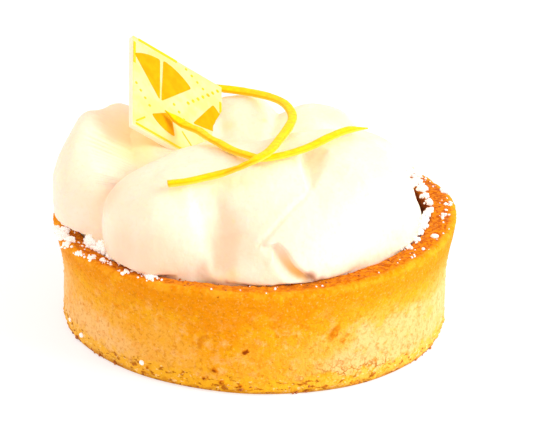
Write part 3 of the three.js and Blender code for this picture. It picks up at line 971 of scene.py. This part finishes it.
# ---- zest
def smooth_path(way_points):
    """Catmull-Rom curve through the way points, with even steps along its length."""
    knots = np.array(way_points, float)
    gaps = norm(np.diff(knots[:, :3], axis=0), axis=1) ** 0.5
    times = np.concatenate([[0], np.cumsum(gaps)])
    slopes = np.gradient(knots, times, axis=0)
    t = np.linspace(0, times[-1], ZEST_STEPS * 4)
    index = np.clip(np.searchsorted(times, t, side="right") - 1, 0, len(gaps) - 1)
    step = gaps[index][:, None]
    u = (t - times[index])[:, None] / step
    curve = (
        (2 * u**3 - 3 * u**2 + 1) * knots[index]
        + (u**3 - 2 * u**2 + u) * step * slopes[index]
        + (3 * u**2 - 2 * u**3) * knots[index + 1]
        + (u**3 - u**2) * step * slopes[index + 1]
    )
    steps_taken = norm(np.diff(curve[:, :3], axis=0), axis=1)
    length = np.concatenate([[0], np.cumsum(steps_taken)])
    even = np.linspace(0, length[-1], ZEST_STEPS)
    return np.stack([np.interp(even, length, curve[:, i]) for i in range(4)], axis=1), even


def strip_axes(centres, banks):
    """Unit vectors along a strip, across it and out of its face, at each step."""
    tangents = np.gradient(centres, axis=0)
    tangents /= norm(tangents, axis=1)[:, None]
    across = np.cross(tangents, (0, 0, 1))
    across /= norm(across, axis=1)[:, None]
    above = np.cross(across, tangents)
    turn_cos, turn_sin = np.cos(banks)[:, None], np.sin(banks)[:, None]
    return tangents, across * turn_cos - above * turn_sin, above * turn_cos + across * turn_sin


def make_zest(name, way_points, material, node, start_taper, end_taper, seed):
    """A strip of peel swept along its way points, tapering over a length at each end."""
    path, length = smooth_path(way_points)
    centres = path[:, :3]
    tangents, side, rise = strip_axes(centres, np.radians(path[:, 3]))
    width = ZEST_WIDTH / 2 * (1 + 0.1 * noise(centres, 6, seed))
    thick = ZEST_THICKNESS / 2 * (1 + 0.1 * noise(centres, 4, seed + 1))
    taper = np.ones(len(length))
    for reach, run in ((start_taper, length), (end_taper, length[-1] - length)):
        if reach:
            taper *= 0.12 + 0.88 * smooth(0, reach, run)
    turn = np.arange(ZEST_SECTION) / ZEST_SECTION * TAU + TAU / 32
    flat = np.sign(np.cos(turn)) * np.abs(np.cos(turn)) ** 0.45
    tall = np.sign(np.sin(turn)) * np.abs(np.sin(turn)) ** 0.6
    rings = (
        centres[:, None]
        + side[:, None] * (width * taper)[:, None, None] * flat[None, :, None]
        + rise[:, None] * (thick * taper**0.5)[:, None, None] * tall[None, :, None]
    )
    points = rings.reshape(-1, 3)
    outward = np.tile(rise, (1, ZEST_SECTION)).reshape(-1, 3)
    points = points + 0.04 * noise(points, 0.9, seed + 2)[:, None] * outward
    ends = centres[:1] - 0.03 * tangents[:1], centres[-1:] + 0.03 * tangents[-1:]
    points = np.vstack([ends[0], points, ends[1]])
    faces = ring_faces(len(rings), ZEST_SECTION)
    piece = make_piece(name, points, faces, material, node)
    edge = np.tile(smooth(0.75, 1, np.abs(flat)), len(rings))
    pith = np.tile(smooth(0, 0.6, -tall), len(rings))
    paint(piece, "edge", [1, *edge, 1])
    paint(piece, "pith", [0, *pith, 0])


# ---- crumbs
CRUMB_ROUGHNESS = 0.35


def turned(points, rng):
    """The points turned to a random direction."""
    basis, _ = np.linalg.qr(rng.normal(size=(3, 3)))
    return points @ (basis * np.sign(np.linalg.det(basis)))


def make_crumbs(name, places, sizes, material, seed):
    """One mesh of loose crumbs, each a roughened lump of its own shape."""
    rng = np.random.default_rng(seed)
    ball = bmesh.new()
    bmesh.ops.create_icosphere(ball, subdivisions=2, radius=1.0)
    form, form_faces = form_parts(ball)
    points, faces = [], []
    for number, (place, size) in enumerate(zip(places, sizes)):
        bumps = 1 + CRUMB_ROUGHNESS * noise(form + 10 * number, 0.9, seed)
        stretch = rng.uniform(0.65, 1.25, 3)
        lump = turned(form * bumps[:, None] * stretch, rng)
        points.append(place + lump * size / 2)
        faces.append(np.array(form_faces) + number * len(form))
    make_piece(name, np.vstack(points), np.vstack(faces).tolist(), material)


def on_rim(angle_degrees, radius, lift=0):
    """Points over the top of the rim, at a height above it."""
    angle = np.radians(angle_degrees)
    return around_axis(angle, radius, rim_height(angle) + lift)


# Piles of sugar on the rim: angle in degrees, radius, width, height, grains and their
# size. A negative height hangs down the outside.
SUGAR_PILES = [
    (-168.5, 40.5, 0.6, -1, 40, 0.58), (-166, 39, 0.9, 0.8, 60, 0.55), (-163, 40, 0.9, 0.4, 60, 0.52),
    (-156.5, 40.2, 0.8, 0.2, 18, 0.5), (-160, 38.7, 1, 0.4, 40, 0.5), (-154.5, 35.9, 1.1, 2.2, 120, 0.5),
    (-148.5, 35.2, 1, 2.2, 110, 0.46), (-149.5, 39.8, 0.9, 0.2, 12, 0.5),
    (-145.5, 38.6, 1.1, 0.2, 18, 0.48), (-141, 35.2, 0.9, 1.6, 70, 0.42),
    (-140.5, 37.6, 0.9, 0.3, 16, 0.45), (-135.5, 35.7, 0.7, 1, 34, 0.42),
    (-131, 38.2, 0.9, 0.3, 16, 0.46), (-127, 36.6, 0.9, 0.5, 34, 0.42), (-122, 37.6, 1.1, 0.4, 44, 0.42),
    (-34, 35.6, 0.8, 0.3, 20, 0.42), (-28.5, 35.1, 0.8, 0.5, 34, 0.45), (-23, 34.7, 0.7, 0.6, 40, 0.48),
    (-18, 34.5, 0.7, 0.6, 44, 0.5), (-12.5, 34.1, 0.7, 0.5, 50, 0.52), (-8, 34, 0.7, 0.5, 44, 0.5),
    (-3.5, 34.5, 0.6, 0.5, 20, 0.5), (3, 34.5, 0.6, 0.5, 18, 0.5), (10, 34.5, 0.7, 0.6, 26, 0.5),
    (17, 35.2, 0.9, 0.8, 54, 0.55), (24, 35.8, 1.2, 0.9, 80, 0.58), (32, 37.2, 1.8, 0.9, 110, 0.58),
    (41, 37.8, 2, 0.8, 120, 0.6), (2, 38.6, 1.2, 0.2, 12, 0.45), (14, 39.4, 0.9, 0.3, 14, 0.45),
    (-8, 37.4, 1.2, 0.2, 10, 0.4),
]
LOOSE_GRAINS = 60
# Single grains on the outer wall: angle in degrees and height.
WALL_GRAINS = [(-162, 2.8), (-152.5, 2.2), (-124.5, 3)]
FOOT_SPECKS = 170
RIM_SPECKS = 130


def make_sugar(material):
    rng = np.random.default_rng(5)
    places, sizes = [], []
    for angle, radius, width, height, count, grain in SUGAR_PILES:
        across, along = rng.normal(0, width / 2, (2, count))
        near = np.exp(-(across**2 + along**2) / width**2)
        lift = 0.25 * grain + height * near * rng.uniform(0, 1, count)
        turn = angle + np.degrees(1.6 * along / radius)
        places.append(on_rim(turn, radius + across, lift))
        sizes.append(grain * rng.lognormal(0, 0.35, count))
    loose_angles = rng.uniform(-172, 45, LOOSE_GRAINS)
    places.append(on_rim(loose_angles, rng.uniform(36.4, 39.6, LOOSE_GRAINS), 0.1))
    sizes.append(0.34 * rng.lognormal(0, 0.35, LOOSE_GRAINS))
    places.append([on_rim(-23.7, 38, 0.3), *(on_wall(*place) for place in WALL_GRAINS)])
    sizes.append([1.3, 1, 1.3, 1])
    make_crumbs("sugar_crumbs", np.vstack(places), np.concatenate(sizes), material, 5)


def make_caramel(material):
    """Dark baked specks along the foot of the wall and along the rim's inner edge."""
    rng = np.random.default_rng(9)
    angles = rng.uniform(0, 360, FOOT_SPECKS)
    heights = 0.25 + 1.6 * rng.uniform(0, 1, FOOT_SPECKS) ** 2
    at_foot = np.array([on_wall(a, h) for a, h in zip(angles, heights)])
    at_foot[:, :2] *= 0.993
    angles = rng.uniform(0, 360, RIM_SPECKS)
    at_rim = on_rim(angles, 35.9 + 3 * rng.uniform(0, 1, RIM_SPECKS) ** 2, 0)
    places = np.vstack([at_foot, at_rim])
    sizes = 0.42 * rng.lognormal(0, 0.35, len(places))
    make_crumbs("caramel_specks", places, sizes, material, 9)


# ---- floor and light
def make_floor():
    look = Shader("floor", 0.9, 0.1)
    look.set("Base Color", FLOOR_COLOUR)
    look.set("Emission Color", (1, 1, 1))
    look.set("Emission Strength", FLOOR_GLOW)
    reach = FLOOR_REACH * MM
    corners = [(-reach, -reach, 0), (reach, -reach, 0), (reach, reach, 0), (-reach, reach, 0)]
    mesh = bpy.data.meshes.new("floor")
    mesh.from_pydata(corners, [], [(0, 1, 2, 3)])
    mesh.materials.append(look.material)
    floor = add_object("floor", mesh)
    floor.location.z = -0.1 * MM


def make_lamp(name, direction, power):
    """A round soft lamp that shines on the pie from a direction."""
    lamp = bpy.data.lights.new(name, "AREA")
    lamp.shape = "DISK"
    lamp.size = LAMP_SIZE * MM
    lamp.energy = power
    holder = add_object(name, lamp)
    direction = Vector(direction).normalized()
    holder.location = direction * LAMP_DISTANCE * MM
    holder.rotation_euler = direction.to_track_quat("Z", "Y").to_euler()


def make_world():
    """Even warm light from all round."""
    world = bpy.data.worlds.new("studio")
    world.use_nodes = True
    background = world.node_tree.nodes["Background"]
    background.inputs["Color"].default_value = (*WORLD_COLOUR, 1)
    background.inputs["Strength"].default_value = WORLD_STRENGTH
    bpy.context.scene.world = world


def make_camera():
    """A long lens that sees the base centre at its own pixel, with a slight roll."""
    right = Vector((1, 0, 0))
    back = Vector((0, -cos(CAMERA_ELEVATION), sin(CAMERA_ELEVATION)))
    up = back.cross(right)
    across = IMAGE_SIZE[0] / 2 - ORIGIN_PIXEL[0]
    down = IMAGE_SIZE[1] / 2 - ORIGIN_PIXEL[1]
    turn_cos, turn_sin = cos(CAMERA_ROLL), sin(CAMERA_ROLL)
    aim_right = (across * turn_cos + down * turn_sin) / FOCAL_PIXELS
    aim_up = (across * turn_sin - down * turn_cos) / FOCAL_PIXELS
    backward = (back - right * aim_right - up * aim_up).normalized()
    image_right = right * turn_cos + up * turn_sin
    image_right = (image_right - backward * image_right.dot(backward)).normalized()
    image_up = backward.cross(image_right)
    data = bpy.data.cameras.new("camera")
    data.sensor_width = SENSOR_WIDTH
    data.lens = SENSOR_WIDTH * FOCAL_PIXELS / IMAGE_SIZE[0]
    camera = add_object("camera", data)
    pose = Matrix((image_right, image_up, backward)).transposed().to_4x4()
    pose.translation = back * CAMERA_DISTANCE * MM
    camera.matrix_world = pose
    bpy.context.scene.camera = camera


# ---- assembly
make_camera()
make_world()
make_lamp("key", KEY_DIRECTION, KEY_POWER)
make_lamp("back", BACK_DIRECTION, BACK_POWER)
make_floor()
bpy.context.scene.view_settings.view_transform = "Standard"

make_crust(crust_material())
make_meringue(meringue_material())
make_plaque(plaque_material())
make_print("citrus_print", segment_shapes(), print_material())
make_print("line_print", line_shapes(), line_material())
zest_look = zest_material()
make_zest("zest_loop_strip", LOOP_POINTS, zest_look, "zest_loop", 0, 0, 91)
make_zest("zest_ribbon_strip", RIBBON_POINTS, zest_look, "zest_ribbon", 3, 5, 95)
make_sugar(sugar_material())
make_caramel(caramel_material())
